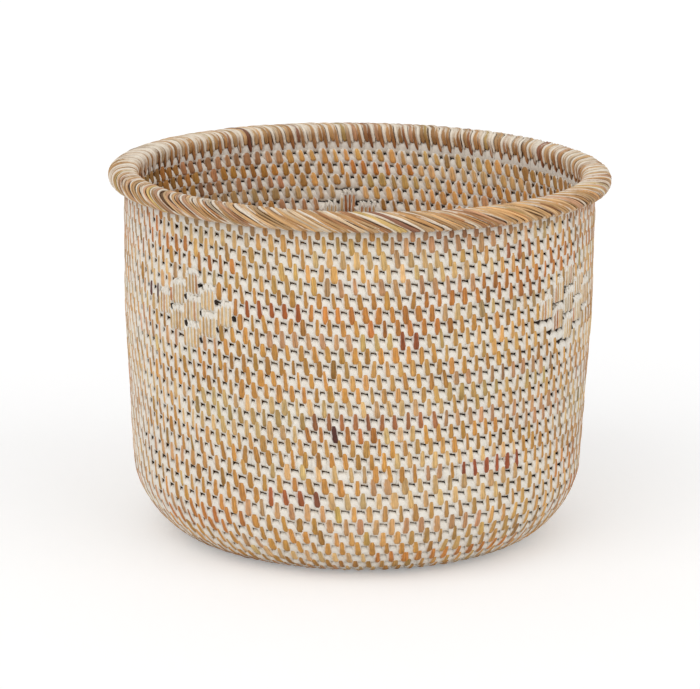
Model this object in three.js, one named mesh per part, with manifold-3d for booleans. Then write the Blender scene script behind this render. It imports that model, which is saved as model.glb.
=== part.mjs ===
// Coiled rattan basket planter. One spiral of wrapped cane, in spliced lengths, runs from the centre of
// the base round the heel and up the wall. A hoop bound with slanting splints closes the top, and three
// diamonds of ribbed blocks are worked on the outside. Millimetres, +Z up, origin at the base's centre.
import * as THREE from "three";
import { mergeVertices } from "three/addons/utils/BufferGeometryUtils.js";
import Module from "manifold-3d";

// Outline of the basket, to the outside of the courses
const footRadius = 97; // edge of the flat base
const heelHeight = 44.5; // top of the rounded heel
const heelRadius = 138.3; // radius where the wall leaves the heel
const heelFullness = 0.453; // length of the heel curve's handles against its width and height
const shoulderHeight = 143; // the wall is upright above this and draws in below it
const shoulderSoftening = 12; // how far the change of slope is rounded, up and down
const wallRadius = 143.5; // radius of the upright wall
const wallTop = 215; // level top of the last course

// Courses of cane with their wrapping
const coursePitch = 8.02; // from one course to the next along the outline
const courseGap = 0.55; // clearance between two courses
const courseThickness = 7.5; // through the wall
const courseFlat = 4.2; // width of the face that lies on the next course
const footCut = 0.75; // how much is rubbed off the underside, where the basket stands
const frontJoint = 207.3; // height at the front, at -Y, of the joint under the top course
const coilCentre = 4.01; // distance of the first course from the axis
const runOutHeight = 0.6; // what is left of the last course at its pared end

// Lengths of cane and their slanted splices
const heelLengths = 2;
const wallLengths = 6;
const spliceLength = 16; // length of the slanted cut
const spliceGap = 0.45; // clearance between the two cut faces
const turnSteps = 24; // facets in a turn
const innerTurnSteps = 12; // facets in a turn near the coil's centre
const innerRadius = 26; // inside this radius the turns have fewer facets

// Hoop and the splints wound round it
const hoopOverhang = 0.5; // how far the hoop's middle lies outside the wall's face
const hoopWidth = 14.6;
const hoopHeight = 8.1;
const hoopSides = 8;
const splintThickness = 1;
const splintSeat = 0.35; // clearance between the splints and the hoop
const rimSeat = 0.3; // clearance between the border and the top course
const splintTurns = 57; // turns of the paired splints round the whole rim
const splintLengths = 6; // spliced lengths of splint round the rim
const splintGap = 0.55; // groove between two turns
const splintLap = 0.25; // how far the slant outside laps on over the top and under the rim

// Motifs: diamonds of ribbed blocks, each laid over two courses
const motifAzimuths = [-42.7, 60.5, 183.3]; // degrees from the front towards the right
const motifHeight = 160; // centre of a diamond
const motifReach = 2; // rows above and below the middle row
const blockWidth = 12;
const blockGap = 0.55; // clearance between neighbouring blocks of two rows
const blockEndGap = 1.2; // clearance between two blocks one above the other
const blockSeat = 0.3; // clearance behind a block
const blockValley = 0.8; // thickness between the ribs
const blockCrest = 1.6; // thickness at the ribs
const blockEnd = 0.5; // share of that thickness at a block's upper and lower ends
const blockRibs = 4;

const TURN = 2 * Math.PI;
const FRONT = -Math.PI / 2; // azimuth of the front, at -Y

const wrappedCane = new THREE.MeshStandardMaterial({ color: 0xd9ceb9, roughness: 0.8, metalness: 0 });
const hoopCane = new THREE.MeshStandardMaterial({ color: 0xb08a5c, roughness: 0.75, metalness: 0 });
const borderSplint = new THREE.MeshStandardMaterial({ color: 0xc09560, roughness: 0.6, metalness: 0 });
const motifSplint = new THREE.MeshStandardMaterial({ color: 0xceb083, roughness: 0.65, metalness: 0 });

const wasm = await Module();
wasm.setup();

const basket = new THREE.Group();

function addPiece(name, geometry, material) {
  const piece = new THREE.Mesh(geometry, material);
  piece.name = name;
  basket.add(piece);
}

// A closed tube through rings of corners, each ring in the same order, with a flat cap at either end.
function tubeThrough(rings) {
  const sides = rings[0].length;
  const positions = rings.flat().flatMap((corner) => corner.toArray());
  const faces = [];
  for (let i = 0; i + 1 < rings.length; i++) {
    for (let j = 0; j < sides; j++) {
      const next = (j + 1) % sides;
      const a = i * sides + j;
      const b = i * sides + next;
      const c = a + sides;
      const d = b + sides;
      faces.push(a, b, d, a, d, c);
    }
  }
  const last = (rings.length - 1) * sides;
  for (let j = 1; j + 1 < sides; j++) {
    faces.push(0, j + 1, j);
    faces.push(last, last + j, last + j + 1);
  }
  const tube = new THREE.BufferGeometry();
  tube.setAttribute("position", new THREE.Float32BufferAttribute(positions, 3));
  tube.setIndex(faces);
  tube.computeVertexNormals();
  return tube;
}

function solidFrom(geometry) {
  const bare = geometry.clone();
  bare.deleteAttribute("normal");
  bare.deleteAttribute("uv");
  const merged = mergeVertices(bare, 1e-4);
  const vertProperties = new Float32Array(merged.getAttribute("position").array);
  const triVerts = new Uint32Array(merged.index.array);
  return new wasm.Manifold(new wasm.Mesh({ numProp: 3, vertProperties, triVerts }));
}

function geometryFrom(solid) {
  const mesh = solid.getMesh();
  const geometry = new THREE.BufferGeometry();
  geometry.setAttribute("position", new THREE.BufferAttribute(mesh.vertProperties, 3));
  geometry.setIndex(new THREE.BufferAttribute(mesh.triVerts, 1));
  geometry.computeVertexNormals();
  return geometry;
}

// What lies under the resting plane is rubbed off flat.
function flattenFoot(geometry) {
  const reach = 4 * footRadius;
  const ground = new THREE.BoxGeometry(reach, reach, courseThickness);
  ground.translate(0, 0, -courseThickness / 2);
  return geometryFrom(solidFrom(geometry).subtract(solidFrom(ground)));
}

// Outline through the middle of the courses, as radius and height
const courseHalf = courseThickness / 2;
const footZ = courseHalf - footCut;
const heelR = heelRadius - courseHalf;
const wallR = wallRadius - courseHalf;
const slope = new THREE.Vector2(wallR - heelR, shoulderHeight - heelHeight).normalize();
const heelTop = new THREE.Vector2(heelR, heelHeight);
const heelHandle = heelTop.clone().addScaledVector(slope, -heelFullness * (heelHeight - footZ));
const shoulder = new THREE.Vector2(wallR, shoulderHeight);
const underShoulder = shoulder.clone().addScaledVector(slope, -shoulderSoftening);

const outline = new THREE.Path();
outline.moveTo(0, footZ);
outline.lineTo(footRadius, footZ);
const footLength = outline.getLength();
outline.bezierCurveTo(
  footRadius + heelFullness * (heelR - footRadius), footZ, heelHandle.x, heelHandle.y, heelTop.x, heelTop.y,
);
outline.updateArcLengths();
const heelLength = outline.getLength();
outline.lineTo(underShoulder.x, underShoulder.y);
outline.quadraticCurveTo(shoulder.x, shoulder.y, wallR, shoulderHeight + shoulderSoftening);
outline.lineTo(wallR, wallTop);
outline.updateArcLengths();
const outlineLength = outline.getLength();

// A point of the outline at a distance along it, moved outwards across it.
function outlinePoint(distance, outwards) {
  const share = THREE.MathUtils.clamp(distance / outlineLength, 0, 1);
  const point = outline.getPoint(share);
  const along = outline.getTangent(share);
  return new THREE.Vector2(point.x + along.y * outwards, point.y - along.x * outwards);
}

function aroundAxis(radius, height, azimuth) {
  return new THREE.Vector3(radius * Math.cos(azimuth), radius * Math.sin(azimuth), height);
}

// The coil is set round so that a joint between two courses crosses the front at frontJoint.
const jointDistance = outlineLength - (wallTop - frontJoint);
const coilAzimuth = FRONT - TURN * (jointDistance / coursePitch - 0.5);

const courseHeight = coursePitch - courseGap;

// Corners of the cane's section, each as its share of the course's height, from the middle, and how far
// out it lies. Two flat faces take the courses beside it, and a ridge stands outside and inside.
const footShare = (0.5 * footCut) / (courseHalf - courseFlat / 2);
const CANE_SECTION = [
  [-0.5, courseFlat / 2],
  [-0.5, -courseFlat / 2],
  [0, -courseHalf],
  [0.5, -courseFlat / 2],
  [0.5, courseFlat / 2],
  [0, courseHalf],
];
// Under the base the outer ridge is rubbed off to a flat.
const FOOT_SECTION = [
  ...CANE_SECTION.slice(0, -1),
  [footShare, courseHalf - footCut],
  [-footShare, courseHalf - footCut],
];

// The section after a number of turns. The last turn is pared away at the level top, and where its end has
// run out, the course below reaches up to that level.
function courseRing(turns, section) {
  const low = turns * coursePitch - courseHeight / 2;
  const full = low + courseHeight;
  const high = outlineLength - full < courseGap + runOutHeight ? outlineLength : full;
  const azimuth = coilAzimuth + TURN * turns;
  return section.map(([share, outwards]) => {
    const corner = outlinePoint(THREE.MathUtils.lerp(low, high, share + 0.5), outwards);
    return aroundAxis(corner.x, corner.y, azimuth);
  });
}

// A splice is a slanted cut in the middle of a facet. Along the cane the lower face's corners lie back from
// the middle and the upper face's corners lie on beyond it.
function cutRing(step, section, shift) {
  const before = courseRing(step / turnSteps, section);
  const after = courseRing((step + 1) / turnSteps, section);
  return before.map((corner, j) => {
    const facetLength = corner.distanceTo(after[j]);
    const along = 0.5 + (section[j][0] * spliceLength + shift) / facetLength;
    return corner.clone().lerp(after[j], along);
  });
}

// The gap is measured square to the slanted cut, so along the cane it opens wider.
const spliceShift = (spliceGap * Math.hypot(spliceLength, courseHeight)) / courseHeight;

function caneLength(firstStep, lastStep, section) {
  const rings = [];
  const skip = turnSteps / innerTurnSteps;
  if (firstStep > coilStep) rings.push(cutRing(firstStep, section, spliceShift / 2));
  else rings.push(courseRing(firstStep / turnSteps, section));
  for (let step = firstStep + 1; step <= lastStep; step++) {
    const radius = (step / turnSteps) * coursePitch;
    if (radius < innerRadius && step % skip) continue;
    rings.push(courseRing(step / turnSteps, section));
  }
  if (lastStep < endStep) rings.push(cutRing(lastStep, section, -spliceShift / 2));
  return tubeThrough(rings);
}

// Steps of the coil at which its parts begin and end
const stepAt = (distance) => Math.round((distance / coursePitch) * turnSteps);
const coilStep = stepAt(coilCentre);
const heelStep = stepAt(footLength);
const wallStep = stepAt(heelLength);
const endStep = Math.floor(((outlineLength + courseHeight / 2 - runOutHeight) / coursePitch) * turnSteps);

// The heel's first turn still dips under the resting plane, so its underside is cut flat too.
function addCanes(name, count, firstStep, lastStep) {
  for (let i = 0; i < count; i++) {
    const from = Math.round(THREE.MathUtils.lerp(firstStep, lastStep, i / count));
    const to = Math.round(THREE.MathUtils.lerp(firstStep, lastStep, (i + 1) / count));
    const cane = caneLength(from, to, CANE_SECTION);
    addPiece(`${name}_${i + 1}`, from === heelStep ? flattenFoot(cane) : cane, wrappedCane);
  }
}

// The least distance between corners of the coil one turn apart, over the whole coil.
function leastCourseGap() {
  let least = Infinity;
  for (let step = coilStep; step + turnSteps <= endStep; step++) {
    const here = courseRing(step / turnSteps, CANE_SECTION);
    const above = courseRing(step / turnSteps + 1, CANE_SECTION);
    for (const a of here) for (const b of above) least = Math.min(least, a.distanceTo(b));
  }
  return least;
}

// Corners of the hoop's section, or of a layer that lies on it, as radius and height. They start at the
// underside inside, climb the inside, cross the top and come down the outside.
const hoopRadius = wallRadius + hoopOverhang;
const rimZ = wallTop + rimSeat + splintThickness + splintSeat + hoopHeight / 2;
const rimAngle = (corner) => -TURN / 4 - ((corner + 0.5) / hoopSides) * TURN;

function rimSection(layer) {
  const corners = [];
  const acrossFlats = Math.cos(Math.PI / hoopSides);
  for (let i = 0; i < hoopSides; i++) {
    const x = ((hoopWidth / 2 + layer) / acrossFlats) * Math.cos(rimAngle(i));
    const z = ((hoopHeight / 2 + layer) / acrossFlats) * Math.sin(rimAngle(i));
    corners.push(new THREE.Vector2(hoopRadius + x, rimZ + z));
  }
  return corners;
}

function hoop() {
  const section = rimSection(0);
  section.push(section[0].clone());
  section.reverse();
  return new THREE.LatheGeometry(section, splintTurns).rotateX(Math.PI / 2);
}

// Share of a turn's advance made on each side of the section: none inside, most down the outside
const sideAdvance = Array.from({ length: hoopSides }, (_, i) => {
  return Math.max(0, Math.cos(rimAngle(i + 0.5)) + splintLap);
});
const fullAdvance = sideAdvance.reduce((sum, share) => sum + share);
const splintStep = TURN / splintTurns;

// Corners of the splints' section on corner k of their winding, counted on from turn to turn. A turn fills
// the room between its neighbours but for a groove, whose width is measured square to the splint.
function splintRing(k) {
  const under = rimSection(splintSeat);
  const over = rimSection(splintSeat + splintThickness);
  const corner = k % hoopSides;
  const turn = (k - corner) / hoopSides;
  const advanced = sideAdvance.slice(0, corner).reduce((sum, share) => sum + share, 0) / fullAdvance;
  const azimuth = FRONT + splintStep * (turn + advanced);
  const radius = over[corner].x;
  let widest = 0;
  for (const side of [corner, (corner + hoopSides - 1) % hoopSides]) {
    const rise = over[side].distanceTo(over[(side + 1) % hoopSides]);
    const run = (sideAdvance[side] / fullAdvance) * splintStep * radius;
    widest = Math.max(widest, (splintGap * Math.hypot(rise, run)) / rise);
  }
  const half = splintStep / 2 - widest / (2 * radius);
  return [
    aroundAxis(under[corner].x, under[corner].y, azimuth - half),
    aroundAxis(under[corner].x, under[corner].y, azimuth + half),
    aroundAxis(over[corner].x, over[corner].y, azimuth + half),
    aroundAxis(over[corner].x, over[corner].y, azimuth - half),
  ];
}

// A length of splint starts and ends on the underside, a little short of the next one.
function splintPiece(firstTurn, lastTurn) {
  const first = firstTurn * hoopSides;
  const last = lastTurn * hoopSides;
  const rings = [];
  for (let k = first; k <= last; k++) rings.push(splintRing(k));
  const end = rings.length - 1;
  const before = rings[end - 1];
  rings[end] = rings[end].map((corner, j) => {
    return corner.clone().lerp(before[j], splintGap / corner.distanceTo(before[j]));
  });
  return tubeThrough(rings);
}

function addBorder() {
  for (let i = 0; i < splintLengths; i++) {
    const from = Math.round((i * splintTurns) / splintLengths);
    const to = Math.round(((i + 1) * splintTurns) / splintLengths);
    addPiece(`rim_splint_${i + 1}`, splintPiece(from, to), borderSplint);
  }
}

function leastSplintGap() {
  let least = Infinity;
  for (let k = 0; k < hoopSides; k++) {
    for (const a of splintRing(k)) {
      for (const b of splintRing(k + hoopSides)) least = Math.min(least, a.distanceTo(b));
    }
  }
  return least;
}

// Distance along the outline at which the courses' middle stands at a height.
function distanceAtHeight(height) {
  let low = footLength;
  let high = outlineLength;
  for (let i = 0; i < 40; i++) {
    const middle = (low + high) / 2;
    if (outlinePoint(middle, 0).y < height) low = middle;
    else high = middle;
  }
  return low;
}

// Radius of the faceted wall's outside at a height and an azimuth.
function wallFace(height, azimuth) {
  const facet = TURN / turnSteps;
  const fromCorner = THREE.MathUtils.euclideanModulo(azimuth - coilAzimuth, facet);
  const corner = outlinePoint(distanceAtHeight(height), courseHalf).x;
  return (corner * Math.cos(facet / 2)) / Math.cos(fromCorner - facet / 2);
}

// A block of floated splints: ribbed outside, hollowed behind to the wall, thinner at its ends.
function motifBlock(azimuth, height) {
  const blockHeight = 2 * coursePitch - blockEndGap;
  const rings = [-1, 0, 1].map((level) => {
    const z = height + (level * blockHeight) / 2;
    const fullness = level ? blockEnd : 1;
    const corners = [];
    const place = (share, out) => {
      const turned = azimuth + (share * blockWidth) / wallRadius;
      const radius = wallFace(height, turned) + blockSeat + out;
      corners.push(aroundAxis(radius, z, turned));
    };
    place(0, 0);
    place(-0.5, 0);
    for (let i = 0; i <= 2 * blockRibs; i++) {
      place(i / (2 * blockRibs) - 0.5, fullness * (i % 2 ? blockCrest : blockValley));
    }
    place(0.5, 0);
    return corners;
  });
  return tubeThrough(rings);
}

function addMotif(number, azimuth) {
  const column = (blockWidth + blockGap) / wallRadius;
  let block = 0;
  for (let row = -motifReach; row <= motifReach; row++) {
    const blocks = motifReach + 1 - Math.abs(row);
    for (let i = 0; i < blocks; i++) {
      block += 1;
      const turned = azimuth + (2 * i - (blocks - 1)) * column;
      const geometry = motifBlock(turned, motifHeight - row * coursePitch);
      addPiece(`motif_${number}_block_${block}`, geometry, motifSplint);
    }
  }
}

addPiece("base_cane", caneLength(coilStep, heelStep, FOOT_SECTION), wrappedCane);
addCanes("heel_cane", heelLengths, heelStep, wallStep);
addCanes("wall_cane", wallLengths, wallStep, endStep);
addPiece("rim_hoop", hoop(), hoopCane);
addBorder();
motifAzimuths.forEach((degrees, i) => {
  addMotif(i + 1, FRONT + THREE.MathUtils.degToRad(degrees));
});

console.log(`turns of cane: ${((endStep - coilStep) / turnSteps).toFixed(2)}`);
console.log(`least gap between turns of cane: ${leastCourseGap().toFixed(2)} mm`);
console.log(`least gap between turns of splint: ${leastSplintGap().toFixed(2)} mm`);

export default basket;
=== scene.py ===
# A round planter basket, coiled from rattan cane that is wrapped and stitched with thin splints, washed
# with white paint and rubbed back. A border of slanting splints closes the top, and three diamonds of
# ribbed blocks are worked into the wall. Lengths on the basket are in millimetres until a mesh is made.
import math

import bpy
import numpy as np
from mathutils import Matrix, Vector


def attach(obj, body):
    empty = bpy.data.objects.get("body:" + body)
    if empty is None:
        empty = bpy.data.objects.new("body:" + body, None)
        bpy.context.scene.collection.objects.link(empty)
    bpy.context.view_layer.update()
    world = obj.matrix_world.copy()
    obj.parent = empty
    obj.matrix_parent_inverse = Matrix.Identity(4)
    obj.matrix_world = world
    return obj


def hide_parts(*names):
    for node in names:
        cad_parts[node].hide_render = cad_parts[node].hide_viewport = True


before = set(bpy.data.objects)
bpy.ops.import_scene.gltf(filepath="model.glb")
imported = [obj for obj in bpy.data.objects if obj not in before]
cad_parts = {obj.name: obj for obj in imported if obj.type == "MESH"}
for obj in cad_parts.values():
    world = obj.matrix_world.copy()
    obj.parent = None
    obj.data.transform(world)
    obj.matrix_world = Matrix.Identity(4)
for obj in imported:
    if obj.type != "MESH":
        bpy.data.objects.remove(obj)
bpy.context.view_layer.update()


# Cane core. One long cane, about 8 mm thick with its wrapping, is coiled from the middle of the base round
# the heel and up the wall in spliced lengths. It shows only in the slits between the courses and in the
# small holes beside the stitches, where its colour is darkened as painted shade.
MM = 0.001
COURSE = 8.02  # from one course to the next
FRONT = -math.pi / 2
FOOT_RADIUS = 97.0  # of the flat base
FOOT_LEVEL = 3.0  # of the middle of the base's courses
FOOT_POINTS = 120  # of the outline, up to the foot's edge
RUBBED = 0.74  # share of the relief that is left under the base, which is rubbed flat to stand on
RUBBED_HEEL = 21.0  # beyond the foot's edge, where the relief is whole again
HEEL_TOP = np.array((134.55, 44.5))  # radius and height
HEEL_FULLNESS = 0.453  # how far the handles of the heel's bend reach towards its corner
SHOULDER = np.array((139.75, 143.0))  # radius and height at which the wall turns upright
SHOULDER_BEND = 12.0  # the turn begins this far below the shoulder and ends this far above it
WALL_TOP = 215.0
FRONT_JOINT = 207.3  # height of the last joint between courses at the front
PARED_LEVEL = 3.0  # above the wall's top, inside the hoop, where the core of the last course is pared off
RUN_OUT = 3.1  # above the wall's top: the coil ends where the middle of its course gets there
SPARE = 12.0  # the outline goes on this far above the wall
BEYOND = 8.0  # and starts this far beyond the base's middle, which the first stitches cross
INSIDE_LAG = 0.44  # of a course: the splints slant down through the wall, so the rows lie lower inside


def curve(points, count):
    """Points along the curve that these handles give, with two for a line and four for a full bend."""
    share = np.linspace(0, 1, count)[:, None]
    layer = [np.tile(np.array(point, float), (count, 1)) for point in points]
    while len(layer) > 1:
        layer = [a + (b - a) * share for a, b in zip(layer, layer[1:])]
    return layer[0][1:]


slope = (SHOULDER - HEEL_TOP) / np.linalg.norm(SHOULDER - HEEL_TOP)
foot_edge = (FOOT_RADIUS, FOOT_LEVEL)
heel_handle = (FOOT_RADIUS + HEEL_FULLNESS * (HEEL_TOP[0] - FOOT_RADIUS), FOOT_LEVEL)
heel_end_handle = HEEL_TOP - slope * HEEL_FULLNESS * (HEEL_TOP[1] - FOOT_LEVEL)
under_shoulder = SHOULDER - slope * SHOULDER_BEND
over_shoulder = SHOULDER + (0, SHOULDER_BEND)
outline = np.vstack([
    [(-BEYOND, FOOT_LEVEL), (0, FOOT_LEVEL)],
    curve([(0, FOOT_LEVEL), foot_edge], FOOT_POINTS),
    curve([foot_edge, heel_handle, heel_end_handle, HEEL_TOP], 160),
    curve([HEEL_TOP, under_shoulder], 80),
    curve([under_shoulder, SHOULDER, over_shoulder], 40),
    curve([over_shoulder, (SHOULDER[0], WALL_TOP + SPARE)], 80),
])
reach = np.concatenate([[0], np.cumsum(np.linalg.norm(np.diff(outline, axis=0), axis=1))]) - BEYOND
heading = np.gradient(outline, reach, axis=0)
heading /= np.linalg.norm(heading, axis=1)[:, None]
LEVEL_TOP = reach[-1] - SPARE


def radius_at(distance):
    return np.interp(distance, reach, outline[:, 0])


def height_at(distance):
    return np.interp(distance, reach, outline[:, 1])


def reach_at(height):
    """The distance along the outline at which the heel or the wall has this height."""
    return np.interp(height, outline[FOOT_POINTS:, 1], reach[FOOT_POINTS:])


# The coil in turns from the base's middle: a course's middle is its turns times COURSE along the outline
HEEL_REACH = reach_at(HEEL_TOP[1])
LAST_TURN = (LEVEL_TOP + RUN_OUT) / COURSE
coil_azimuth = FRONT - 2 * math.pi * ((LEVEL_TOP - (WALL_TOP - FRONT_JOINT)) / COURSE - 0.5)


def on_wall(distance, azimuth, out):
    """Points at a distance along the outline, an azimuth, and a depth outwards from the courses' middle."""
    run = np.interp(distance, reach, heading[:, 0])
    rise = np.interp(distance, reach, heading[:, 1])
    rubbed = np.interp(distance, (FOOT_RADIUS, FOOT_RADIUS + RUBBED_HEEL), (RUBBED, 1.0))
    out = np.where(out > 0, out * rubbed, out)
    radius = radius_at(distance) + rise * out
    height = np.maximum(height_at(distance) - run * out, 0)
    return np.stack([radius * np.cos(azimuth), radius * np.sin(azimuth), height], -1) * MM


def take_shape(thing):
    """The vertices and faces of a shape just modelled, which is then put away."""
    mesh = thing.data
    vertices = np.zeros(len(mesh.vertices) * 3)
    mesh.vertices.foreach_get("co", vertices)
    corners = np.zeros(len(mesh.loops), int)
    mesh.loops.foreach_get("vertex_index", corners)
    sizes = np.zeros(len(mesh.polygons), int)
    mesh.polygons.foreach_get("loop_total", sizes)
    bpy.data.objects.remove(thing)
    bpy.data.meshes.remove(mesh)
    return vertices.reshape(-1, 3), corners, sizes


def gathered(shapes, name, finish):
    """One object from many shapes, each a dict of its vertices, faces, colour, splint places and paint."""
    points = np.vstack([shape["points"] for shape in shapes])
    starts = np.cumsum([0] + [len(shape["points"]) for shape in shapes])
    corners = np.concatenate([shape["corners"] + start for shape, start in zip(shapes, starts)])
    sizes = np.concatenate([shape["sizes"] for shape in shapes])
    mesh = bpy.data.meshes.new(name)
    mesh.vertices.add(len(points))
    mesh.vertices.foreach_set("co", points.astype(np.float32).ravel())
    mesh.loops.add(len(corners))
    mesh.loops.foreach_set("vertex_index", corners.astype(np.int32))
    mesh.polygons.add(len(sizes))
    mesh.polygons.foreach_set("loop_start", np.concatenate([[0], np.cumsum(sizes)[:-1]]).astype(np.int32))
    mesh.polygons.foreach_set("use_smooth", np.ones(len(sizes), bool))
    tint = np.vstack([shape["tint"] for shape in shapes])
    tint = np.hstack([tint, np.ones((len(tint), 1))]).astype(np.float32)
    mesh.attributes.new("tint", "FLOAT_COLOR", "POINT").data.foreach_set("color", tint.ravel())
    places = np.vstack([shape["splint"] for shape in shapes]).astype(np.float32)
    mesh.attributes.new("splint", "FLOAT_VECTOR", "POINT").data.foreach_set("vector", places.ravel())
    paint = np.concatenate([shape["paint"] for shape in shapes]).astype(np.float32)
    mesh.attributes.new("paint", "FLOAT", "POINT").data.foreach_set("value", paint)
    mesh.materials.append(finish)
    mesh.update(calc_edges=True)
    mesh.validate()
    thing = bpy.data.objects.new(name, mesh)
    bpy.context.scene.collection.objects.link(thing)
    return thing


def linear(*screen):
    """The linear colour that shows as the screen colour of 0 to 255."""
    share = np.array(screen, float) / 255
    return np.where(share <= 0.04045, share / 12.92, ((share + 0.055) / 1.055) ** 2.4)


CORE_STEPS = 48  # in a turn
CORE_SIDES = 8
CORE_DEPTH = 2.3  # half of its thickness through the wall
CORE_OVERLAP = 0.51  # half of its height as a share of a course, so that the turns close
# the bare cane's colour, darkened further as painted shade for the slits and holes
BARE_CORE_AND_SHADE = linear(40, 28, 20)
TUCKED_TURN = 0.35  # the cane's end is pressed in under the hoop


def core_length(first_turn, last_turn):
    """A length of the cane: a strip of faces is rolled up round the coil's line and closed at its ends."""
    count = max(2, round((last_turn - first_turn) * CORE_STEPS))
    bpy.ops.object.select_all(action="DESELECT")
    bpy.ops.mesh.primitive_grid_add(x_subdivisions=count, y_subdivisions=CORE_SIDES, size=1)
    strip = bpy.context.object
    flat = np.zeros(len(strip.data.vertices) * 3)
    strip.data.vertices.foreach_get("co", flat)
    flat = flat.reshape(-1, 3) + 0.5
    turns = first_turn + flat[:, 0] * (last_turn - first_turn)
    side = flat[:, 1] * 2 * math.pi
    low = (turns - 0.5) * COURSE
    high = np.minimum(low + COURSE, LEVEL_TOP + PARED_LEVEL)
    distance = (low + high) / 2 + (high - low) * CORE_OVERLAP * np.cos(side)
    distance = distance - INSIDE_LAG * COURSE * np.clip(np.sin(side), 0, 1)
    rolled = on_wall(distance, coil_azimuth + 2 * math.pi * turns, -CORE_DEPTH * np.sin(side))
    strip.data.vertices.foreach_set("co", rolled.astype(np.float32).ravel())
    bpy.ops.object.mode_set(mode="EDIT")
    bpy.ops.mesh.select_all(action="SELECT")
    bpy.ops.mesh.remove_doubles(threshold=1e-6)
    bpy.ops.mesh.fill_holes(sides=CORE_SIDES)
    bpy.ops.mesh.normals_make_consistent(inside=False)
    bpy.ops.object.mode_set(mode="OBJECT")
    points, corners, sizes = take_shape(strip)
    plain = np.ones(len(points))
    return {
        "points": points, "corners": corners, "sizes": sizes, "tint": plain[:, None] * BARE_CORE_AND_SHADE,
        "splint": points * 100, "paint": plain * -1,
    }


# Wrapping and stitches. Splints of rattan wrap the cane, and each in turn dives over the slit into the
# course below as a stitch 11 mm long. A wrap shows as a white cushion whose upper edge falls to the right,
# and a stitch as a rubbed tan oval. Both are modelled once and copied along the coil, outside and inside.


# The splints' finish. All of them are split from the same cane: tan, ochre and a few russet ones, with fine
# fibres along them. White paint was brushed over the work and rubbed off what stands proud, so it stays in
# the hollows. Each vertex carries its splint's colour, its place along it and how much paint it keeps.
class Shade:
    """A socket of a material's nodes. Plus, minus and times add Math nodes."""

    def __init__(self, tree, socket=None):
        self.tree = tree
        self.socket = socket

    def node(self, kind, settings, values, output=0):
        node = self.tree.nodes.new(kind)
        for name, setting in settings.items():
            setattr(node, name, setting)
        for name, value in values.items():
            if isinstance(value, Shade):
                self.tree.links.new(value.socket, node.inputs[name])
            else:
                node.inputs[name].default_value = value
        return Shade(self.tree, node.outputs[output])

    def maths(self, operation, first, second):
        return self.node("ShaderNodeMath", {"operation": operation}, {0: first, 1: second})

    def __add__(self, other):
        return self.maths("ADD", self, other)

    def __sub__(self, other):
        return self.maths("SUBTRACT", self, other)

    def __rsub__(self, other):
        return self.maths("SUBTRACT", other, self)

    def __mul__(self, other):
        return self.maths("MULTIPLY", self, other)

    __radd__ = __add__
    __rmul__ = __mul__

    def attribute(self, name, output):
        return self.node("ShaderNodeAttribute", {"attribute_name": name}, {}, output)

    def noise(self, place, scale, detail=2.0):
        return self.node("ShaderNodeTexNoise", {}, {"Vector": place, "Scale": scale, "Detail": detail})

    def stretched(self, place, factors):
        return self.node("ShaderNodeVectorMath", {"operation": "MULTIPLY"}, {0: place, 1: factors})

    def ramp(self, value, low, high, to_low=0.0, to_high=1.0):
        inputs = {"Value": value, "From Min": low, "From Max": high, "To Min": to_low, "To Max": to_high}
        return self.node("ShaderNodeMapRange", {"interpolation_type": "SMOOTHSTEP"}, inputs)

    def mix(self, share, first, second):
        return self.node("ShaderNodeMix", {"data_type": "RGBA"}, {0: share, 6: first, 7: second}, 2)

    def brightened(self, colour, factor):
        return self.node("ShaderNodeVectorMath", {"operation": "SCALE"}, {0: colour, "Scale": factor})


def splint_finish(name, paint_colour, fibre_contrast, fibre_depth, thin_paint):
    """Splint under rubbed paint, through which the share thin_paint of its colour shows where it is thin."""
    material = bpy.data.materials.new(name)
    material.use_nodes = True
    surface = material.node_tree.nodes["Principled BSDF"]
    shade = Shade(material.node_tree)
    place = shade.node("ShaderNodeTexCoord", {}, {}, "Object")
    along = shade.attribute("splint", "Vector")
    paint = shade.attribute("paint", "Fac")
    tint = shade.attribute("tint", "Color")

    # Fine fibres and broad patches run along each splint, and brush marks and wear go over all of them
    fibre = shade.noise(shade.stretched(along, (0.10, 2.6, 1.0)), 1.0, 3.0)
    patch = shade.noise(shade.stretched(along, (0.22, 0.5, 1.0)), 1.0, 1.0)
    brush = shade.noise(place, 520.0, 3.0)
    wear = shade.noise(place, 60.0, 2.0)
    wash = paint + (brush - 0.5) * 0.4 + (wear - 0.5) * 0.35 + (fibre - 0.5) * 0.3
    painted = shade.ramp(wash, 0.36, 0.58)
    bare = shade.brightened(tint, (fibre - 0.5) * fibre_contrast + (patch - 0.5) * 0.7 + 1.0)
    thin = shade.ramp(wash + (patch - 0.5) * 0.5, 0.45, 1.0, thin_paint, 0.04)
    coat = shade.mix(thin, shade.brightened(paint_colour, brush * 0.26 + wear * 0.14 + 0.80), tint)
    rough = shade.ramp(painted, 0.0, 1.0, 0.55, 0.85)
    relief = fibre + brush * 0.4
    grain = shade.node("ShaderNodeBump", {}, {"Strength": 0.5, "Distance": fibre_depth, "Height": relief})
    colour = shade.mix(painted, bare, coat)
    for socket, value in (("Base Color", colour), ("Roughness", rough), ("Normal", grain)):
        material.node_tree.links.new(value.socket, surface.inputs[socket])
    surface.inputs["Specular IOR Level"].default_value = 0.25
    return material


washed_splint = splint_finish("washed rattan splint", tuple(linear(236, 231, 221)), 1.6, 0.00015, 0.5)

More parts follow.
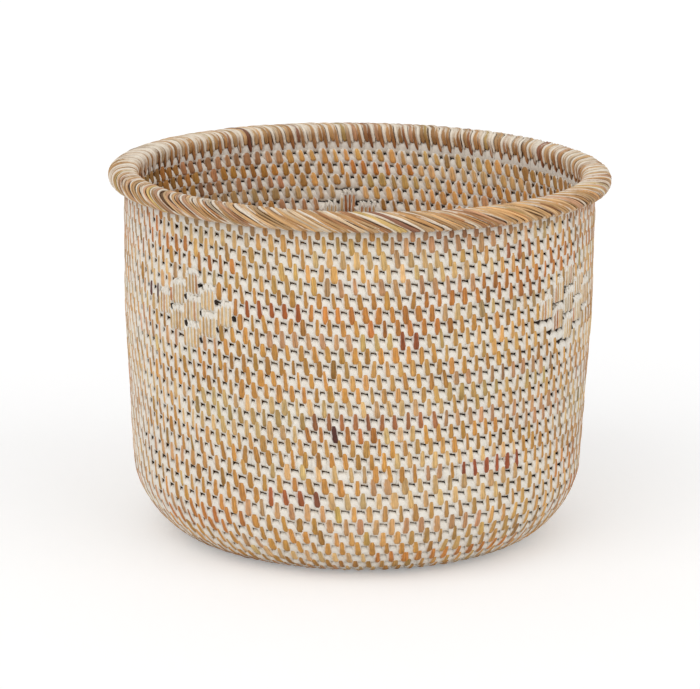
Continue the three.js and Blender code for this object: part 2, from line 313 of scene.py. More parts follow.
CHANGE_HEIGHT = 75.0  # of the course above which the stitches are finer
UPPER_STITCHES = 110.42  # in a turn above the change
LOWER_STITCHES = 90.42  # and below it
CLOSER = 0.045  # share by which they lie closer at the front and back than on average
BASE_TURNS = 14  # the turns of the base go in pairs with equally many stitches
BASE_PITCH = 7.6  # from stitch to stitch on the base
FULL_PITCH = 7.8  # from stitch to stitch where the stitches have their full width
TIGHTEST_BEND = 4.0  # the least radius to which a stitch is bent, near the base's middle
SLACK = 0.09  # share by which the wraps are slimmer at the left and right, where the slits gape more

# A stitch's width and height at its rings from foot to head, and how far its left side spreads there into
# the white shoulder that closes the slit. Its section runs over the crown from right to left.
RINGS = (-1.0, -0.866, -0.5, 0.0, 0.5, 0.866, 1.0)
STITCH_WIDTHS = (1.0, 1.86, 1.50, 1.0, 1.14, 1.65, 1.0)
STITCH_HEIGHTS = (1.0, 1.77, 1.155, 1.0, 1.155, 1.77, 1.0)
SHOULDER_SPREAD = (1.0, 1.0, 1.10, 1.45, 1.60, 1.35, 1.0)
NO_SPREAD = (1.0, 1.0, 1.0, 1.0, 1.0, 1.0, 1.0)
SECTION_TURNS = (0, 30, 60, 90, 120, 150, 180)
SECTION_ACROSS = (1.0, 0.95, 0.6, 0.0, -0.6, -0.95, -1.0)
LEFT_SIDE = 135  # degrees round the section, from where it is the left side
LEFT_HEIGHT = 1.15  # times as high as the right side
SHOULDER_RISE = 0.22  # how far the shoulder rises for each 1 that it spreads

# A wrap's edges and depths from left to right, as shares of half a course, and its round face from foot to
# top. Its right side stops short of the course below, which leaves the slit, and its top is rounded off on
# both sides, where the stitches from above pass over it. It is less so inside, and least where the spacing
# of the stitches changes.
WRAP_ACROSS = (-1.03, -0.68, -0.40, -0.10, 0.24, 0.60, 1.03)
WRAP_TOP = (0.44, 0.62, 0.91, 0.90, 0.83, 0.74, 0.44)
INNER_TOP = (0.75, 0.92, 1.02, 1.01, 0.99, 0.95, 0.75)
CLOSED_TOP = (0.90, 0.98, 1.02, 1.02, 1.02, 0.98, 0.90)
WRAP_FOOT = (-0.99, -1.02, -1.02, -1.00, -0.84, -0.87, -0.94)
WRAP_DEPTH = (0.62, 0.85, 1.0, 1.0, 1.0, 0.95, 0.66)
WRAP_FACE = ((0.0, 0.0), (0.2, 0.76), (0.5, 1.0), (0.8, 0.76), (1.0, 0.0))
WRAP_BACK = -1.1  # depth of its closed back


def stitch_form(spread):
    """A long oval with a closed flat back, slim at the top and blunt at the foot, from -1 to 1 each way, and
    how far each of its points is round the section in degrees."""
    bpy.ops.object.select_all(action="DESELECT")
    bpy.ops.mesh.primitive_uv_sphere_add(segments=12, ring_count=6, radius=1)
    oval = bpy.context.object
    bpy.ops.object.mode_set(mode="EDIT")
    bpy.ops.mesh.select_all(action="SELECT")
    bpy.ops.transform.rotate(value=math.pi / 2, orient_axis="X", center_override=(0, 0, 0))
    bpy.ops.mesh.bisect(
        plane_co=(0, 0, 0), plane_no=(0, 0, 1), threshold=1e-4, clear_inner=True, use_fill=True
    )
    bpy.ops.mesh.select_all(action="SELECT")
    bpy.ops.mesh.normals_make_consistent(inside=False)
    bpy.ops.object.mode_set(mode="OBJECT")
    turns = []
    for vertex in oval.data.vertices:
        x, y, z = vertex.co
        size = math.hypot(x, z)
        turn = math.degrees(math.atan2(max(z, 0), x)) if size > 0.1 else 90
        turns.append(turn)
        across = np.interp(turn, SECTION_TURNS, SECTION_ACROSS) * size * np.interp(y, RINGS, STITCH_WIDTHS)
        vertex.co.z = max(z, 0) * np.interp(y, RINGS, STITCH_HEIGHTS)
        if turn > LEFT_SIDE:
            spread_here = np.interp(y, RINGS, spread)
            across *= spread_here
            vertex.co.z = vertex.co.z * LEFT_HEIGHT + SHOULDER_RISE * size * (spread_here - 1)
        vertex.co.x = across
    return take_shape(oval), np.array(turns)


def wrap_form(tops):
    """A cushion with a round face and a closed back, from -1 to 1 across and with the edges given above."""
    bpy.ops.object.select_all(action="DESELECT")
    bpy.ops.mesh.primitive_grid_add(x_subdivisions=6, y_subdivisions=4, size=2)
    cushion = bpy.context.object
    bpy.ops.object.mode_set(mode="EDIT")
    bpy.ops.mesh.select_all(action="SELECT")
    bpy.ops.mesh.extrude_region_move(TRANSFORM_OT_translate={"value": (0, 0, 1)})
    bpy.ops.mesh.select_all(action="SELECT")
    bpy.ops.mesh.normals_make_consistent(inside=False)
    bpy.ops.object.mode_set(mode="OBJECT")
    for face in cushion.data.polygons:
        face.select = face.normal.z < -0.5
    bpy.ops.object.mode_set(mode="EDIT")
    bpy.ops.mesh.select_mode(type="FACE")
    bpy.ops.mesh.dissolve_faces()
    bpy.ops.mesh.select_mode(type="VERT")
    bpy.ops.object.mode_set(mode="OBJECT")
    for vertex in cushion.data.vertices:
        column = round(3 * vertex.co.x + 3)
        share, face_height = WRAP_FACE[round(2 * vertex.co.y + 2)]
        vertex.co.z = face_height * WRAP_DEPTH[column] if vertex.co.z > 0.5 else WRAP_BACK
        vertex.co.x = WRAP_ACROSS[column]
        vertex.co.y = WRAP_FOOT[column] + (tops[column] - WRAP_FOOT[column]) * share
    return take_shape(cushion)


def copies(
    form, distance, azimuth, half_width, half_length, lean, level, proud, side, tint, paint, draw, kept=0
):
    """Copies of a form laid on the coil, outside with side 1 and inside with side -1. Paint is given for the
    form's points, and kept is what each copy has beyond it."""
    base, corners, sizes = form
    count = len(distance)
    x = base[None, :, 0] * half_width[:, None]
    y = base[None, :, 1] * half_length[:, None]
    along = distance[:, None] + y
    radius = np.maximum(radius_at(along), TIGHTEST_BEND)
    out = side * (level + base[None, :, 2] * proud[:, None])
    points = on_wall(along, azimuth[:, None] + side * (x - y * lean[:, None]) / radius, out).reshape(-1, 3)
    recess_shade = np.interp(base[:, 2], (0, 0.35), (0.3, 1))  # painted shade darkens a splint's foot, where it lies low in the recesses
    shift = draw.uniform(0, 90, (count, 1))
    seed = np.broadcast_to(draw.uniform(0, 90, (count, 1)), y.shape)
    first = np.arange(count)[:, None] * len(base)
    return {
        "points": points,
        "corners": (corners[None, :] + first).ravel(),
        "sizes": np.tile(sizes, count),
        "tint": np.repeat(tint, len(base), 0) * np.tile(recess_shade, count)[:, None],
        "splint": np.stack([y + shift, x + shift, seed], -1).reshape(-1, 3),
        "paint": (paint + np.broadcast_to(kept, count)[:, None]).ravel(),
    }


def stitches_in_turn(turns):
    """How many stitches a turn has at the spacing worked here."""
    if turns <= BASE_TURNS:
        ring = COURSE * (2 * math.floor(turns / 2) + 1)
        return math.floor(2 * math.pi * ring / BASE_PITCH) + 0.5
    upper = height_at(turns * COURSE) > CHANGE_HEIGHT
    close = 1 + CLOSER * math.cos(2 * (coil_azimuth + 2 * math.pi * turns - FRONT))
    return (UPPER_STITCHES if upper else LOWER_STITCHES) * close


stitch_turns = [1.0]
while stitch_turns[-1] < LAST_TURN + INSIDE_LAG:
    stitch_turns.append(stitch_turns[-1] + 1 / stitches_in_turn(stitch_turns[-1]))
stitch_turns = np.array(stitch_turns)
stitch_counts = np.array([stitches_in_turn(turns) for turns in stitch_turns])
stitch_azimuths = coil_azimuth + 2 * math.pi * stitch_turns
stitch_joints = (stitch_turns - 0.5) * COURSE  # a stitch crosses the joint below its course

# A splint lasts for a row of stitches, so their colour changes in runs. The last number is its share.
SPLINT_COLOURS = (
    (200, 152, 88, 27), (192, 138, 70, 24), (206, 168, 114, 19), (192, 144, 100, 13),
    (188, 122, 60, 7), (188, 154, 94, 6), (164, 106, 66, 3), (120, 72, 50, 1),
)
# Runs that stand out on the real wall: degrees from the front, from and to, height and colour
DARK_RUNS = (
    (-29.5, -12.5, 167.5, (164, 90, 44)),
    (-60.0, -55.5, 167.5, (92, 52, 44)),
    (-8.0, -2.5, 96.0, (96, 56, 46)),
    (13.0, 14.5, 103.3, (88, 48, 44)),
    (8.5, 14.5, 152.0, (150, 84, 50)),
    (26.7, 45.7, 70.1, (158, 84, 52)),
    (-25.0, -11.0, 54.5, (168, 96, 56)),
)


def run_colours(count, draw):
    """A colour for each stitch, in runs of 2 to 12 along the coil, which lighten and darken slowly."""
    palette = np.array([linear(*colour[:3]) for colour in SPLINT_COLOURS])
    weight = np.array([colour[3] for colour in SPLINT_COLOURS], float)
    colours = np.zeros((count, 3))
    start = 0
    while start < count:
        end = start + draw.integers(2, 13)
        colours[start:end] = palette[draw.choice(len(palette), p=weight / weight.sum())]
        start = end
    drift = np.convolve(draw.normal(0, 1, count + 8), np.ones(9) / 9, "valid")[:, None]
    bright = np.clip(draw.normal(1, 0.13, (count, 1)) * (1 + 0.2 * drift), 0.6, 1.22)
    return colours * bright * draw.normal(1, 0.03, (count, 3))


def at_sides(azimuth):
    """How far a place is round to the left and to the right, from 0 to 1."""
    return np.clip(-np.cos(azimuth), 0, 1), np.clip(np.cos(azimuth), 0, 1)


# Inside, the splints are made lighter, as painted light against the dimmer light inside, and darker at the
# left and right as painted shade
draw = np.random.default_rng(8)
outer_colours = run_colours(len(stitch_turns), draw)
at_left, at_right = at_sides(stitch_azimuths)
painted_inner_shade = 1.05 - 0.54 * at_left - 0.33 * at_right
inner_colours = run_colours(len(stitch_turns), draw) * (1.20, 1.13, 1.12) * painted_inner_shade[:, None]
joint_heights = height_at(stitch_joints)
from_front = np.degrees(stitch_azimuths - FRONT + math.pi) % 360 - 180
for run_from, run_to, height, colour in DARK_RUNS:
    there = (from_front > run_from) & (from_front < run_to) & (abs(joint_heights - height) < COURSE / 2)
    outer_colours[there] = linear(*colour) * draw.normal(1, 0.12, (there.sum(), 1))

# The motifs' blocks, under which the stitches are left out
WALL_RADIUS = 143.5  # over the stitches
MOTIF_AZIMUTHS = np.radians((-42.7, 60.5, 183.3)) + FRONT
MOTIF_HEIGHT = 160.0  # of the middle of each diamond
BLOCK_WIDTH = 12.0
BLOCK_HEIGHT = 14.84
BLOCK_STEP = 12.55 / WALL_RADIUS
block_places = [
    (number, azimuth + (2 * column - (2 - abs(row))) * BLOCK_STEP, MOTIF_HEIGHT - row * COURSE)
    for number, azimuth in enumerate(MOTIF_AZIMUTHS, 1)
    for row in range(-2, 3)
    for column in range(3 - abs(row))
]


def under_motif(distance, azimuth, margin):
    """Which stitches lie under a block or within the margin of it."""
    height = height_at(distance)
    hidden = np.zeros(len(distance), bool)
    for _, block_azimuth, block_height in block_places:
        aside = abs((azimuth - block_azimuth + math.pi) % (2 * math.pi) - math.pi) * SHOULDER[0]
        above = abs(height - block_height)
        hidden |= (aside < BLOCK_WIDTH / 2 + margin) & (above < BLOCK_HEIGHT / 2 + margin)
    return hidden


stitch, stitch_turn = stitch_form(SHOULDER_SPREAD)
wrap = wrap_form(WRAP_TOP)
inner_wrap = wrap_form(INNER_TOP)
closed_wrap = wrap_form(CLOSED_TOP)


def wrap_paint(base, side):
    """A wrap's paint, whole on its face and fading to none on its back, so its bare sides darken the slits
    as painted shade.
    """
    return np.interp(base[:, 2], (-0.5, 0, 0.3), (-0.5, 0.75, 1.05 if side > 0 else 1.0))


def stitch_paint(base, side):
    """A stitch's paint, which is rubbed off its crown and kept on its flanks and at its ends."""
    head, foot = np.clip(base[:, 1], 0, 1), np.clip(-base[:, 1], 0, 1)
    at_head = (0, 0.1, 1.3) if side > 0 else (0.1, 0.45, 1.3)
    paint = np.interp(stitch_turn, SECTION_TURNS, (0.0, 0.95, 0.34, -0.35, 0.40, 1.05, 0.8))
    paint = paint + np.interp(head, (0.5, 0.866, 1), at_head)
    return paint + np.interp(foot, (0.866, 1), (0, 1.3))


# How far out from the courses' middle wraps and stitches are set, and how far they stand proud of that
WRAP_LEVEL, WRAP_PROUD = 1.5, 1.8
STITCH_LEVEL, STITCH_PROUD = 1.7, 2.15
OUTER_LEAN = 0.08  # of the outer stitches: how far sideways for each 1 down
NEAR_TOP = 1.15  # a wrap whose upper joint would be nearer than this to the wall's top goes on past it
UNDER_HOOP = 2.5  # and ends this far above the wall's top
LEAST_ROOM = 1.0  # no wrap is worked where half of its height would be less
BORDER_TAIL = 3.6  # how far below the wall's top the border's lowest splint ends reach inside
MIDDLE = 2.5  # from the base's middle, inside which the first stitches have closed it already

# For the outside and the inside: which side, the wraps, the stitches' colours, half width, half length,
# lean and drop below the joint, and how many turns the rows lag behind the cane
FACES = (
    (1, wrap, outer_colours, 1.82, 5.7, OUTER_LEAN, 1.1, 0),
    (-1, inner_wrap, inner_colours, 2.3, 4.8, 0.235, 1.5, INSIDE_LAG),
)

# Where the last course leaves room under the hoop, another row of stitches shows above it, set half a
# stitch along and darkened as painted shade under the hoop
ROOM_ABOVE = 4.5
ABOVE_DROP = 0.6  # of that row's middle below the wall's top
HOOP_SHADE = (0.70, 0.64, 0.64)
last_row = (stitch_turns > LAST_TURN - 1) & (stitch_turns < LAST_TURN)
row_above = last_row & (LEVEL_TOP - stitch_joints > ROOM_ABOVE)
above_azimuths = (stitch_azimuths + math.pi / stitch_counts)[row_above]


def wrapped_length(name, node, first_turn, last_turn, draw):
    """A length of the cane with its wraps and stitches on both faces."""
    is_last = last_turn > LAST_TURN - 0.5
    shapes = [core_length(first_turn, LAST_TURN + TUCKED_TURN if is_last else last_turn)]
    for side, open_wrap, colours, broad, long, lean, drop, lag in FACES:
        here = (stitch_turns >= first_turn) & (stitch_turns < last_turn + (lag if is_last else 0))
        azimuth, joint = stitch_azimuths[here], stitch_joints[here] - lag * COURSE
        tint, counts = colours[here], stitch_counts[here]
        top = np.where(LEVEL_TOP - (joint + COURSE) < NEAR_TOP, LEVEL_TOP + UNDER_HOOP, joint + COURSE)
        middle, room = (top + joint) / 2, (top - joint) / 2
        width = math.pi * radius_at(middle) / counts
        next_counts = np.interp(stitch_turns[here] + 1, stitch_turns, stitch_counts)
        changing = (abs(next_counts / counts - 1) > 0.01) & (stitch_turns[here] > BASE_TURNS)
        slim = np.clip(2 * width / FULL_PITCH, 0.75, 1.12)
        heel = np.interp(height_at(middle), (20, 60), (1.08, 1.0))  # the wraps spread round the heel's bend
        snug = 1 - SLACK * np.cos(azimuth) ** 2 * (side > 0)

        # At the left and right, more wash is kept outside, and less inside, which darkens the inside there
        # as painted shade
        at_left, at_right = at_sides(azimuth)
        if side > 0:
            kept = 0.35 * at_left ** 3 + 0.08 * at_right ** 3
        else:
            kept = -0.95 * at_left ** 2 - 0.45 * at_right ** 2

        roomy = room > LEAST_ROOM
        for form, chosen in ((open_wrap, roomy & ~changing), (closed_wrap, roomy & changing)):
            some = chosen.sum()
            shapes.append(copies(
                form, middle[chosen], azimuth[chosen],
                half_width=width[chosen] * draw.normal(1, 0.015, some),
                half_length=(room * heel * snug)[chosen],
                lean=np.full(some, (lean - OUTER_LEAN) / 2),
                level=WRAP_LEVEL, proud=draw.normal(WRAP_PROUD, 0.07, some),
                side=side, tint=tint[chosen], paint=wrap_paint(form[0], side), draw=draw,
            ))
        bare = ~under_motif(joint, azimuth, 0.5)
        if side < 0:
            bare &= joint > MIDDLE
            bare &= joint < LEVEL_TOP - BORDER_TAIL  # above, the border's splints take over
        some = bare.sum()
        shapes.append(copies(
            stitch, joint[bare] - drop + draw.normal(0, 0.35, some),
            azimuth[bare] + draw.normal(0, 0.0018, some),
            half_width=broad * slim[bare] * draw.normal(1, 0.11, some),
            half_length=draw.normal(long, 0.4, some),
            lean=draw.normal(lean, 0.045, some),
            level=STITCH_LEVEL, proud=draw.normal(STITCH_PROUD, 0.12, some),
            side=side, tint=tint[bare], paint=stitch_paint(stitch[0], side), draw=draw,
            kept=kept[bare] + draw.normal(0, 0.10, some),
        ))
        if side > 0 and is_last:
            some = row_above.sum()
            shapes.append(copies(
                stitch, LEVEL_TOP - ABOVE_DROP + draw.normal(0, 0.3, some), above_azimuths,
                half_width=np.full(some, 1.8),
                half_length=draw.normal(long, 0.3, some),
                lean=draw.normal(0.07, 0.04, some),
                level=STITCH_LEVEL, proud=draw.normal(2.1, 0.1, some),
                side=side, tint=colours[row_above] * HOOP_SHADE,
                paint=stitch_paint(stitch[0], side), draw=draw,
            ))
    length = gathered(shapes, name, washed_splint)
    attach(length, "root")
    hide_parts(node)


# The spliced lengths, each of which replaces its own length of the cane
foot_turn = FOOT_RADIUS / COURSE - 0.5
heel_turn = HEEL_REACH / COURSE
lengths = [("base_cane", 0.5, foot_turn)]
canes = (("heel_cane", 2, foot_turn, heel_turn), ("wall_cane", 6, heel_turn, LAST_TURN + 0.01))
for cane, count, start, end in canes:
    for number in range(count):
        step = (end - start) / count
        lengths.append((f"{cane}_{number + 1}", start + number * step, start + (number + 1) * step))
for seed, (node, first_turn, last_turn) in enumerate(lengths):
    wrapped_length(f"{node}_wrapped", node, first_turn, last_turn, np.random.default_rng(100 + seed))


# Motifs. Each diamond has nine blocks of four or five splints floated over two courses, in rows of one,
# two, three, two and one. Paint fills the grooves and caps the blocks. The upper left corner of each block
# is drawn in, and a dark spot of bare cane at its right edge is painted shade for the hole there.
RIB_COLOURS = ((206, 170, 120), (198, 156, 102), (212, 184, 140), (194, 142, 98), (184, 118, 70))
RIB_SHARES = (0.3, 0.25, 0.25, 0.14, 0.06)
RIB_WIDTH = 2.65
RIB_HALF_LENGTH = 7.6
RIB_LEVEL = 2.4  # of the ribs and the paint at their ends, out from the courses' middle
DRAWN_IN = 2.8
CAP_HEIGHT = 6.3  # of the dabs of paint over a rib's upper end, above the rib's middle
CAP_PAINT = 1.2
SPOT_DROP = 1.6  # of the dark spot below the block's middle
SPOT_ASIDE = 0.15  # of a rib's width, from the block's edge to the spot
SPOT_LEVEL = 2.7
INNER_SHADE = np.array((0.86, 0.78, 0.70))  # of the ribs inside, where they have darkened

rib, rib_turn = stitch_form(NO_SPREAD)


def rib_paint(base):
    """A rib's paint, which is rubbed off its crown and fills its grooves and ends."""
    paint = np.interp(abs(rib_turn - 90), (0, 24, 44, 90), (-0.35, 0.36, 1.2, 1.2))
    return paint + np.interp(base[:, 1], (-1, -0.866, 0.5, 0.866), (1.2, 0, 0, 1.2))


def motif(number, draw):
    """A diamond, outside and inside."""
    shapes = []
    blocks = [(azimuth, height) for motif_number, azimuth, height in block_places if motif_number == number]
    for side, shade in ((1, np.ones(3)), (-1, INNER_SHADE)):
        ribs = []
        corners = []
        for azimuth, height in blocks:
            count = draw.integers(4, 6)
            for place in range(count):
                aside = side * (place + 0.5 - count / 2) * RIB_WIDTH
                ribs.append((azimuth + aside / SHOULDER[0], height, DRAWN_IN if place == 0 else 0))
            aside = side * (count / 2 + SPOT_ASIDE) * RIB_WIDTH
            corners.append((azimuth + aside / SHOULDER[0], height - SPOT_DROP))
        azimuths, heights, drawn_in = np.array(ribs).T
        distances = reach_at(heights)
        some = len(ribs)
        chosen = draw.choice(len(RIB_COLOURS), some, p=RIB_SHARES)
        tint = np.array([linear(*RIB_COLOURS[i]) for i in chosen]) * shade * draw.normal(1, 0.09, (some, 1))
        shapes.append(copies(
            rib, distances - drawn_in / 2 + draw.normal(0, 0.2, some), azimuths,
            half_width=RIB_WIDTH / 2 * draw.normal(0.92, 0.05, some),
            half_length=draw.normal(RIB_HALF_LENGTH, 0.2, some) - drawn_in / 2,
            lean=draw.normal(0.02, 0.02, some),
            level=RIB_LEVEL, proud=draw.normal(1.9, 0.12, some),
            side=side, tint=tint, paint=rib_paint(rib[0]), draw=draw,
        ))
        for _ in range(2):  # dabs of paint over each rib's upper end
            shapes.append(copies(
                rib, distances + CAP_HEIGHT - drawn_in + draw.normal(0, 0.4, some),
                azimuths + draw.normal(0, 0.005, some),
                half_width=draw.normal(0.95, 0.15, some),
                half_length=draw.normal(2.1, 0.3, some),
                lean=draw.normal(0.1, 0.4, some),
                level=RIB_LEVEL, proud=draw.normal(1.8, 0.2, some),
                side=side, tint=tint, paint=np.full(len(rib[0]), CAP_PAINT), draw=draw,
            ))
        # Dark spots at the blocks' right edges: painted shade for the holes, in the bare cane's darkened
        # colour
        shade_spots, spot_heights = np.array(corners).T
        some = len(corners)
        shapes.append(copies(
            rib, reach_at(spot_heights), shade_spots,
            half_width=draw.normal(0.9, 0.1, some),
            half_length=draw.normal(1.5, 0.2, some),
            lean=draw.normal(0.5, 0.1, some),
            level=SPOT_LEVEL, proud=draw.normal(1.4, 0.1, some),
            side=side, tint=np.tile(BARE_CORE_AND_SHADE, (some, 1)), paint=np.full(len(rib[0]), -1.0), draw=draw,
        ))
    diamond = gathered(shapes, f"motif_{number}", washed_splint)
    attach(diamond, "root")
    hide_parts(*[f"motif_{number}_block_{block}" for block in range(1, 10)])


for number in (1, 2, 3):
    motif(number, np.random.default_rng(200 + number))


# Hoop. A plain peeled cane bent into a ring, which the border is wound over and which only shows between
# its splints.
hoop_cane = bpy.data.materials.new("hoop cane")
hoop_cane.use_nodes = True
hoop_surface = hoop_cane.node_tree.nodes["Principled BSDF"]
shade = Shade(hoop_cane.node_tree)
hoop_place = shade.node("ShaderNodeTexCoord", {}, {}, "Object")
hoop_grain = shade.noise(shade.stretched(hoop_place, (1.0, 1.0, 6.0)), 160.0, 3.0)
hoop_colour = shade.mix(hoop_grain, (*linear(96, 68, 46), 1), (*linear(150, 116, 80), 1))
hoop_cane.node_tree.links.new(hoop_colour.socket, hoop_surface.inputs["Base Color"])
hoop_surface.inputs["Roughness"].default_value = 0.7
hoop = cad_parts["rim_hoop"]
hoop.data.materials.clear()
hoop.data.materials.append(hoop_cane)


# Border. At each stitch of the last course three splints come up through the wall, stand upright inside,
# cross the top over the hoop and run down the outside at a long slant. One of them starts lower down and
# binds the course below the hoop, and the slim one beside it kept its white wash.
RIM_RADIUS = 144.0  # to the middle of the border's section
RIM_HEIGHT = 220.7
RIM_HALF_WIDTH = 8.05
RIM_HALF_HEIGHT = 4.9
SQUARENESS = 2.5  # of the section, where 2 is an oval
INNER_FACE = -7.7  # of the wall, from the middle of the section
TAIL_DROP = 9.4  # from the middle down to the lowest splint ends inside
TAIL_STEPS = 60

# The section's points and the way each faces, from the lowest splint ends up the wall's inner face, over
# the top and down the outer face to underneath
turn_angle = np.linspace(-math.pi * 0.9, -2.5 * math.pi, 600)
round_x, round_z = np.cos(turn_angle), np.sin(turn_angle)
ring_x = RIM_HALF_WIDTH * np.sign(round_x) * abs(round_x) ** (2 / SQUARENESS)
ring_z = RIM_HALF_HEIGHT * np.sign(round_z) * abs(round_z) ** (2 / SQUARENESS)
face_x = np.sign(ring_x) * abs(ring_x / RIM_HALF_WIDTH) ** (SQUARENESS - 1) / RIM_HALF_WIDTH
face_z = np.sign(ring_z) * abs(ring_z / RIM_HALF_HEIGHT) ** (SQUARENESS - 1) / RIM_HALF_HEIGHT
face_size = np.hypot(face_x, face_z)
ring_x = np.concatenate([np.linspace(INNER_FACE, ring_x[0], TAIL_STEPS, endpoint=False), ring_x])
ring_z = np.concatenate([np.linspace(-TAIL_DROP, ring_z[0], TAIL_STEPS, endpoint=False), ring_z])
face_x = np.concatenate([np.full(TAIL_STEPS, -1.0), face_x / face_size])
face_z = np.concatenate([np.zeros(TAIL_STEPS), face_z / face_size])
ring_reach = np.concatenate([[0], np.cumsum(np.hypot(np.diff(ring_x), np.diff(ring_z)))])
GIRTH = ring_reach[-1]
TAIL = ring_reach[TAIL_STEPS]
HOOP_FOOT = TAIL_DROP - RIM_HALF_HEIGHT  # where the shorter splints come out from under the hoop

# How far a splint moves sideways for each step round the section: little inside, most on the outer face
slant = 0.24 + 1.95 * np.clip(0.97 * face_x + 0.242 * face_z, 0, 1)
slant_shift = np.concatenate([[0], np.cumsum((slant[1:] + slant[:-1]) / 2 * np.diff(ring_reach))])

# The section of a border splint, round from its left foot: place across it, and height of its face
STRAND_ACROSS = (-1, -1, -0.6, 0, 0.6, 1, 1, -1)
STRAND_FACE = (-1, 0.3, 0.82, 1, 0.82, 0.3, -1, -1)
STRAND_BACK = -1.2  # how far out from the section its flat back lies


def strand_form():
    """A long splint with a round face, from -1 to 1 along it: a strip rolled up and closed at its ends. Its
    faces point inwards, because laying it on the border turns them over."""
    bpy.ops.object.select_all(action="DESELECT")
    bpy.ops.mesh.primitive_grid_add(x_subdivisions=7, y_subdivisions=32, size=2)
    strip = bpy.context.object
    for vertex in strip.data.vertices:
        column = round(3.5 * vertex.co.x + 3.5)
        vertex.co.x = STRAND_ACROSS[column]
        vertex.co.z = STRAND_FACE[column]
    bpy.ops.object.mode_set(mode="EDIT")
    bpy.ops.mesh.select_all(action="SELECT")
    bpy.ops.mesh.remove_doubles(threshold=1e-4)
    bpy.ops.mesh.fill_holes(sides=7)
    bpy.ops.mesh.normals_make_consistent(inside=True)
    bpy.ops.object.mode_set(mode="OBJECT")
    return take_shape(strip)


strand = strand_form()


def on_border(along, around, out):
    """Points round the border's section, from the wall's inner face over the top and down the outside."""
    x = np.interp(around, ring_reach, ring_x) + out * np.interp(around, ring_reach, face_x)
    z = np.interp(around, ring_reach, ring_z) + out * np.interp(around, ring_reach, face_z)
    azimuth = FRONT + along / RIM_RADIUS
    radius = RIM_RADIUS + x
    return np.stack([radius * np.cos(azimuth), radius * np.sin(azimuth), RIM_HEIGHT + z], -1) * MM


def strands(offset, inner_widths, outer_width, rise, lift, first, last, colours, deep, paint, draw):
    """Splints wound over the border. Their widths inside are given at the lowest end, at the hoop's foot and
    on the hoop, and deep is how their colour deepens towards the lowest end."""
    base, corners, sizes = strand
    count = len(offset)
    across = base[None, :, 0]
    length = (base[None, :, 1] + 1) / 2
    around = GIRTH * (first[:, None] + (last - first)[:, None] * length)
    lean = np.interp(around, ring_reach, slant)
    steep = 1 / np.hypot(1, lean)
    outer = np.clip((lean - 0.3) / 1.6, 0, 1)
    tip = np.clip(np.minimum(length, 1 - length) * 14, 0, 1) ** 0.5
    inside = np.interp(around, (0, TAIL, TAIL + 4), inner_widths)
    half = (inside + (outer_width - inside) * outer) / 2 * (0.35 + 0.65 * tip)
    half = half * (1 + draw.normal(0, 0.16, (count, 1)) * outer)

    # Each splint winds a little on its way, in one, two and three bends, and swells and rises with them
    wander = draw.normal(0, 1, (count, 3))
    wave = 0
    for bends in (1, 2, 3):
        amount = wander[:, bends - 1, None]
        wave = wave + amount * np.sin(bends * math.pi * length + 2 * amount)
    sideways = across * half * (1 + 0.05 * wave)
    shifted = offset[:, None] + np.interp(around, ring_reach, slant_shift) + (0.12 + 0.4 * outer) * wave
    place = np.clip(around - sideways * lean * steep, 0, GIRTH)
    raised = lift(length, outer) + draw.normal(0, 0.16, (count, 1)) * outer
    top = raised + rise * base[None, :, 2] * tip + across * 0.15 * outer + 0.06 * wave
    out = np.where(base[None, :, 2] > 0, top, STRAND_BACK)
    shift = draw.uniform(0, 90, (count, 1))
    seed = np.broadcast_to(draw.uniform(0, 90, (count, 1)), around.shape)
    starts = np.arange(count)[:, None] * len(base)

    # Wash is less rubbed at the back, left and right; painted shade darkens feet, side edges and the back
    angle = offset[:, None] / RIM_RADIUS  # from the front
    backness = (1 - np.cos(angle)) / 2
    sideness = np.sin(angle) ** 2
    at_left = np.sin(angle) < 0
    kept = 0.29 * backness + np.where(at_left, 0.32, 0.24) * sideness
    kept = kept + draw.normal(0, 0.10, (count, 1)) * (1 + 1.2 * sideness)
    kept = kept + 0.20 * wave * outer
    side_edge_shade = (base[None, :, 2] < 0.5) * sideness
    recess_shade = np.where(base[None, :, 2] < 0, 0.42 - 0.17 * sideness, 1 - 0.45 * side_edge_shade)[:, :, None]
    depth = np.interp(around, (0, TAIL + 2, TAIL + 8), (1, 0.6, 0))
    deepened = 1 + (np.array(deep) - 1) * depth[:, :, None]
    # painted shade dims the splints at the back
    colours = colours * (1 - 0.17 * backness)
    washed = paint(across, outer, depth) + kept - 0.45 * side_edge_shade
    return {
        "points": on_border(shifted + sideways * steep, place, out).reshape(-1, 3),
        "corners": (corners[None, :] + starts).ravel(),
        "sizes": np.tile(sizes, count),
        "tint": (colours[:, None, :] * recess_shade * deepened).reshape(-1, 3),
        "splint": np.stack([around + shift, sideways + shift, seed], -1).reshape(-1, 3),
        "paint": np.where(base[None, :, 2] < 0, -0.5, washed).ravel(),
    }


BORDER_COLOURS = (
    (200, 158, 108), (190, 144, 94), (208, 170, 124), (196, 150, 114),
    (168, 120, 80), (202, 170, 108), (218, 192, 158), (150, 104, 80),
)
BORDER_SHARES = (0.28, 0.25, 0.15, 0.09, 0.09, 0.05, 0.06, 0.03)


def border_colours(count, draw):
    """A colour for each splint."""
    palette = np.array([linear(*colour) for colour in BORDER_COLOURS])
    return palette[draw.choice(len(palette), count, p=BORDER_SHARES)] * draw.normal(1.04, 0.12, (count, 1))


def edge_paint(across, outer, depth):
    """Wash left along both edges of a splint, less on the outer face and on the lowest end inside."""
    return np.interp(abs(across), (0, 0.6, 1), (0.02, 0.20, 0.60)) - 0.28 * outer - 0.45 * depth


def kept_paint(across, outer, depth):
    """Wash kept on nearly all of a slim splint inside, and in streaks on the outer face."""
    return 0.95 - 0.74 * outer + 0 * across


